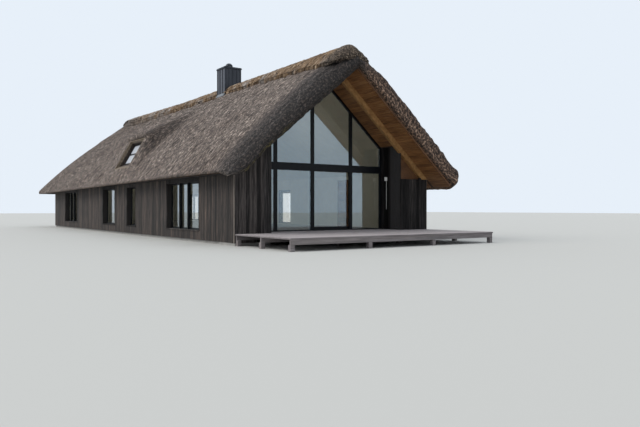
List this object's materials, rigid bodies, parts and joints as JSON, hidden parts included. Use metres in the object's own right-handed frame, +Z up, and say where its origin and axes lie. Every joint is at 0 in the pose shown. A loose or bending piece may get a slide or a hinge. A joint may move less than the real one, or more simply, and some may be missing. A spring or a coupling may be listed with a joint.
{
  "type": "thatched beach house",
  "caption": "Long timber beach house with a hipped thatched roof, a glazed gable set back under the verge, a sliding patio door and a timber deck.",
  "frame": {"origin": "on the ground under the middle of the main footprint, halfway between the gable plane and the far wall", "axes": "+X across the gable towards the sea side, +Y back along the ridge away from the glazed gable, +Z up"},
  "size_m": [10.43, 33.075, 8.565],
  "materials": {
    "concrete": "plain cast concrete",
    "weathered_boards": "upright boards weathered to a dark brown-grey",
    "dark_boards": "upright boards stained nearly black",
    "warm_timber": "oiled orange-brown timber boards",
    "thatch": "grey-brown weathered reed thatch",
    "ridge_thatch": "golden brown ridge cap of bundled reed",
    "black_frame": "satin black",
    "window_glass": "clear glass",
    "steel": "brushed",
    "seamed_metal": "dark blue-grey seamed sheet",
    "deck_boards": "grey weathered deck boards",
    "lamp_white": "matt white"
  },
  "bodies": {
    "house": {"foundation_slab": "concrete", "floor_slab": "concrete", "porch_piers": "concrete", "near_wall": "weathered_boards", "sea_wall": "weathered_boards", "far_wall": "weathered_boards", "front_left_wall": "dark_boards", "front_right_wall": "dark_boards", "left_return_wall": "dark_boards", "right_return_wall": "dark_boards", "timber_spandrel": "warm_timber", "inner_timber_panel": "warm_timber", "thatch_near": "thatch", "thatch_sea": "thatch", "thatch_hip": "thatch", "ridge_cap": "ridge_thatch", "near_lining": "warm_timber", "sea_lining": "warm_timber", "hip_lining": "warm_timber", "gable_beams": "warm_timber", "near_eave_soffit": "dark_boards", "verge_boards": "warm_timber", "gable_frame": "black_frame", "upper_glass": "window_glass", "lower_glass": "window_glass", "door_track": "black_frame", "near_window_frames": "black_frame", "near_window_glass": "window_glass", "sea_window_frames": "black_frame", "sea_window_glass": "window_glass", "skylight_lining": "warm_timber", "skylight_frame": "black_frame", "skylight_glass": "window_glass", "chimney_casing": "seamed_metal", "chimney_lid": "seamed_metal", "flue_pipe": "seamed_metal", "flue_cowl": "seamed_metal", "deck_floor": "deck_boards", "porch_deck": "deck_boards", "deck_joists": "deck_boards", "deck_posts": "deck_boards", "wall_lamp": "lamp_white"},
    "patio_door": {"door_sash": "black_frame", "door_glass": "window_glass", "door_handle": "steel"}
  },
  "joints": [
    {"name": "patio_door_slide", "type": "slide", "parent": "house", "child": "patio_door", "axis": [-1, 0, 0], "range_m": [0, 1.55]}
  ]
}
